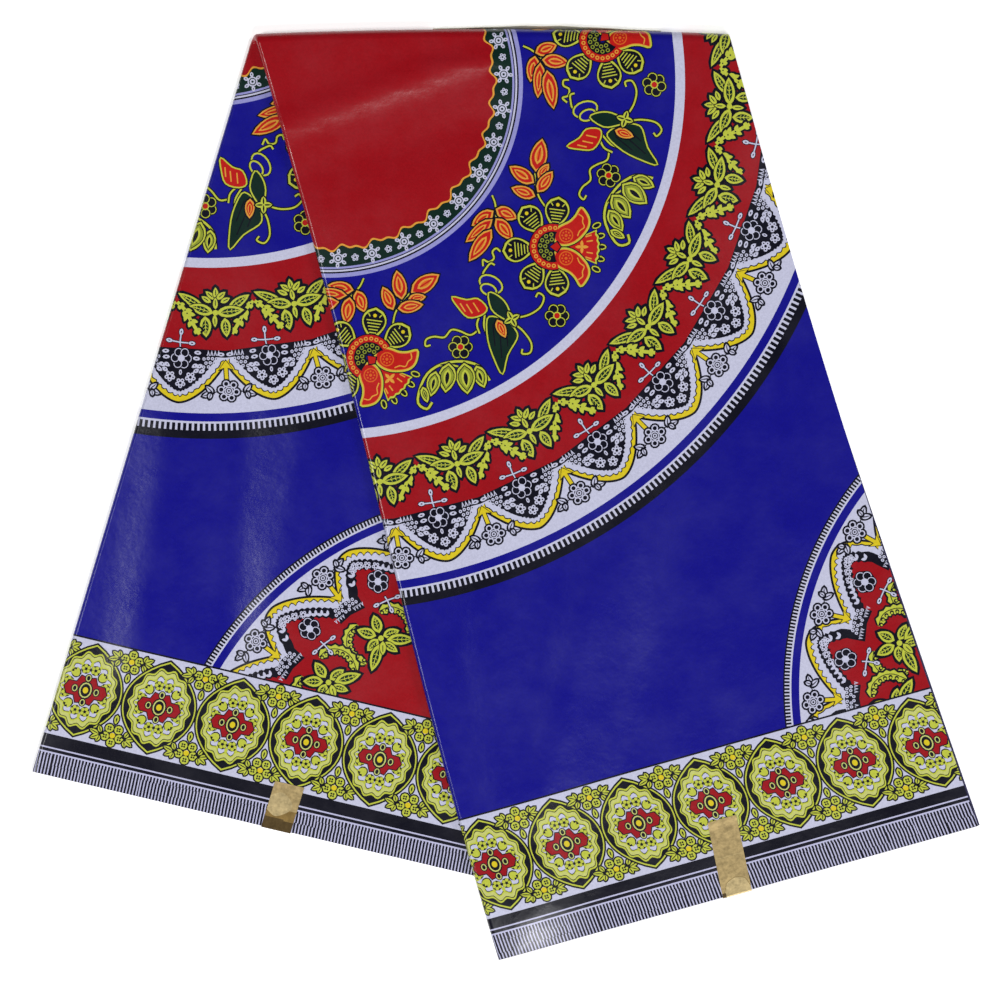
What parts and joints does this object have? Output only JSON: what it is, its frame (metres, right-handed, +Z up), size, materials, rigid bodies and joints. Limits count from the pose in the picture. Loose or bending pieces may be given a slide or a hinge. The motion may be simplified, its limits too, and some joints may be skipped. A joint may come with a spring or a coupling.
{
  "type": "wax print fabric",
  "caption": "Length of printed cotton folded into a flat strip and turned over once at a slant, so that two legs lie in an upside-down V.",
  "frame": {"origin": "on the table, under the centre of the folded cloth's overall box", "axes": "+Z up from the table, +Y towards the top fold, +X towards the front leg's open edge"},
  "size_m": [0.6469, 0.639, 0.0154],
  "materials": {
    "printed_cloth": "glazed printed cotton with a soft sheen",
    "layered_cloth": "cut edges of many thin plies",
    "pale_cloth": "plain matt cotton",
    "label_foil": "dull gold foil paper"
  },
  "bodies": {
    "root": {"front_leg_outer_ply": "printed_cloth", "front_leg_inner_plies": "layered_cloth", "top_fold_outer_ply": "printed_cloth", "top_fold_inner_plies": "layered_cloth", "top_fold_pale_ply": "pale_cloth", "back_leg_outer_ply": "printed_cloth", "back_leg_inner_plies": "layered_cloth", "front_leg_label": "label_foil", "back_leg_label": "label_foil"}
  },
  "joints": []
}
